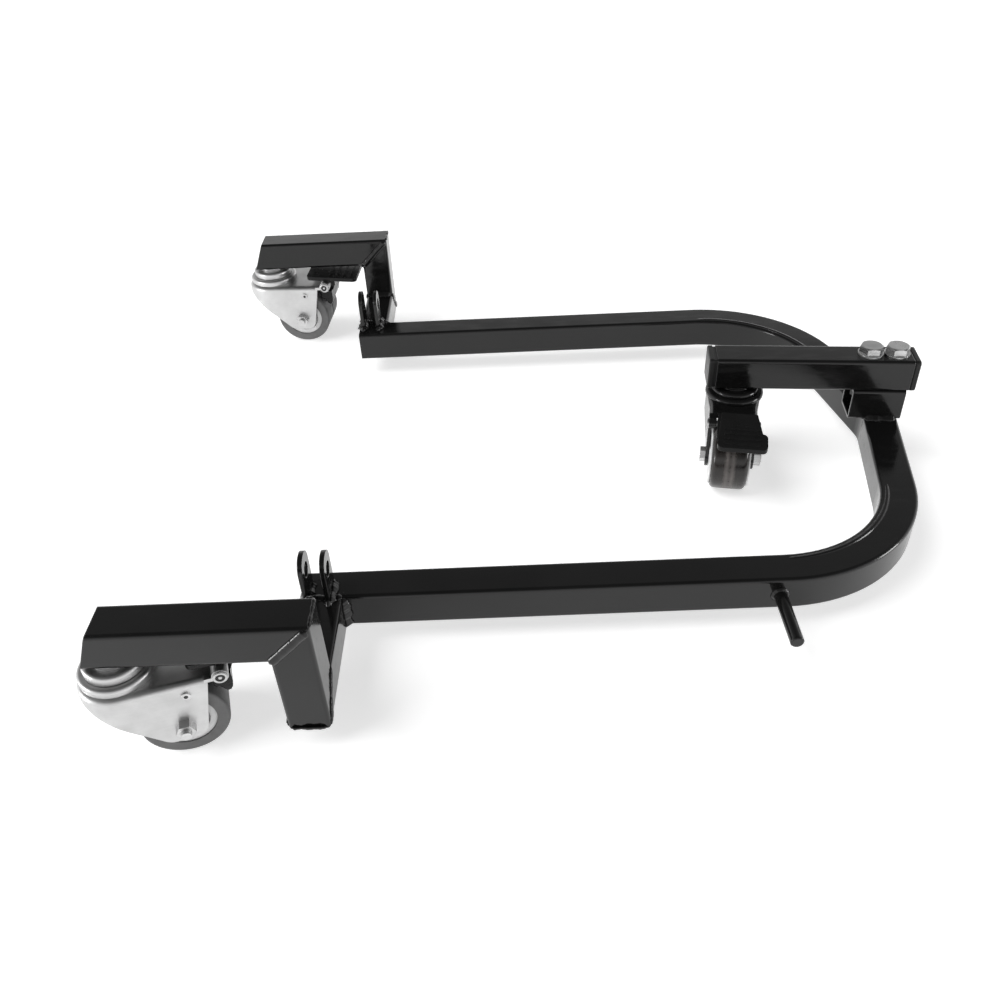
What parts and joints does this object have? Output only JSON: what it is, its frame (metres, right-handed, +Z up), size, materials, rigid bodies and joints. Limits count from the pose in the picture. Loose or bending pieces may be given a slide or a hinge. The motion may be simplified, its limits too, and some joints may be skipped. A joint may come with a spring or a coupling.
{
  "type": "motorcycle mover dolly",
  "caption": "Low U-shaped dolly frame of square tube on braked swivel casters, with raised side brackets, a bolted tail arm, a side peg and drilled clevis ears.",
  "frame": {"origin": "on the floor under the middle of the part's outline, midway between the two arms of the U", "axes": "+Z up; +X from the open ends of the U to its closed end; +Y from the side with the peg to the other side"},
  "size_m": [0.5548, 0.5569, 0.0977],
  "materials": {
    "frame_paint": "gloss",
    "black_steel": "gloss",
    "zinc_steel": "satin",
    "bright_steel": "satin",
    "cap_plastic": "satin",
    "pedal_plastic": "satin",
    "grey_tyre": "matte",
    "dark_tyre": "satin",
    "hub_plastic": "satin"
  },
  "bodies": {
    "frame": {"u_tube": "frame_paint", "near_connector": "frame_paint", "near_leg": "frame_paint", "near_caster_arm": "frame_paint", "near_clevis_ears": "frame_paint", "far_connector": "frame_paint", "far_leg": "frame_paint", "far_caster_arm": "frame_paint", "far_clevis_ears": "frame_paint", "side_peg": "frame_paint", "spacer_tube": "frame_paint", "tail_arm": "frame_paint", "tail_arm_caps": "cap_plastic", "arm_bolts": "bright_steel", "arm_washers": "bright_steel", "arm_nuts": "bright_steel", "near_caster_stud": "bright_steel", "near_stud_nut": "bright_steel", "near_swivel_cup": "zinc_steel", "far_caster_stud": "bright_steel", "far_stud_nut": "bright_steel", "far_swivel_cup": "zinc_steel", "tail_caster_stud": "bright_steel", "tail_stud_nut": "bright_steel", "tail_swivel_cup": "black_steel"},
    "near_caster": {"near_race_ring": "zinc_steel", "near_fork": "zinc_steel", "near_axle_bolt": "bright_steel", "near_axle_nut": "bright_steel", "near_leg_rivets": "bright_steel", "near_brake_pin": "bright_steel"},
    "near_wheel": {"near_wheel_hub": "hub_plastic", "near_wheel_tyre": "grey_tyre"},
    "near_brake": {"near_brake_pedal": "pedal_plastic"},
    "far_caster": {"far_race_ring": "zinc_steel", "far_fork": "zinc_steel", "far_axle_bolt": "bright_steel", "far_axle_nut": "bright_steel", "far_leg_rivets": "bright_steel", "far_brake_pin": "bright_steel"},
    "far_wheel": {"far_wheel_hub": "hub_plastic", "far_wheel_tyre": "grey_tyre"},
    "far_brake": {"far_brake_pedal": "pedal_plastic"},
    "tail_caster": {"tail_race_ring": "black_steel", "tail_fork": "black_steel", "tail_axle_bolt": "bright_steel", "tail_axle_nut": "bright_steel", "tail_brake_pin": "bright_steel"},
    "tail_wheel": {"tail_wheel_hub": "hub_plastic", "tail_wheel_tyre": "dark_tyre"},
    "tail_brake": {"tail_brake_pedal": "pedal_plastic"}
  },
  "joints": [
    {"name": "near_swivel", "type": "hinge", "parent": "frame", "child": "near_caster", "pos_m": [-0.25392, -0.253, 0.0582], "axis": [0, 0, 1], "continuous": true},
    {"name": "near_wheel_spin", "type": "hinge", "parent": "near_caster", "child": "near_wheel", "pos_m": [-0.22672, -0.2452, 0.025], "axis": [-0.2756, 0.9613, 0], "continuous": true},
    {"name": "near_brake_press", "type": "hinge", "parent": "near_caster", "child": "near_brake", "pos_m": [-0.20153, -0.23798, 0.0581], "axis": [-0.2756, 0.9613, 0], "range_deg": [0, 12]},
    {"name": "far_swivel", "type": "hinge", "parent": "frame", "child": "far_caster", "pos_m": [-0.25392, 0.253, 0.0582], "axis": [0, 0, 1], "continuous": true},
    {"name": "far_wheel_spin", "type": "hinge", "parent": "far_caster", "child": "far_wheel", "pos_m": [-0.2257, 0.25093, 0.025], "axis": [0.0732, 0.9973, 0], "continuous": true},
    {"name": "far_brake_press", "type": "hinge", "parent": "far_caster", "child": "far_brake", "pos_m": [-0.19957, 0.24901, 0.0581], "axis": [0.0732, 0.9973, 0], "range_deg": [0, 12]},
    {"name": "tail_swivel", "type": "hinge", "parent": "frame", "child": "tail_caster", "pos_m": [0.14626, 0.01286, 0.056], "axis": [0, 0, 1], "continuous": true},
    {"name": "tail_wheel_spin", "type": "hinge", "parent": "tail_caster", "child": "tail_wheel", "pos_m": [0.13732, -0.02919, 0.025], "axis": [0.9781, -0.2079, 0], "continuous": true},
    {"name": "tail_brake_press", "type": "hinge", "parent": "tail_caster", "child": "tail_brake", "pos_m": [0.1369, -0.03115, 0.0545], "axis": [0.9781, -0.2079, 0], "range_deg": [0, 12]}
  ]
}
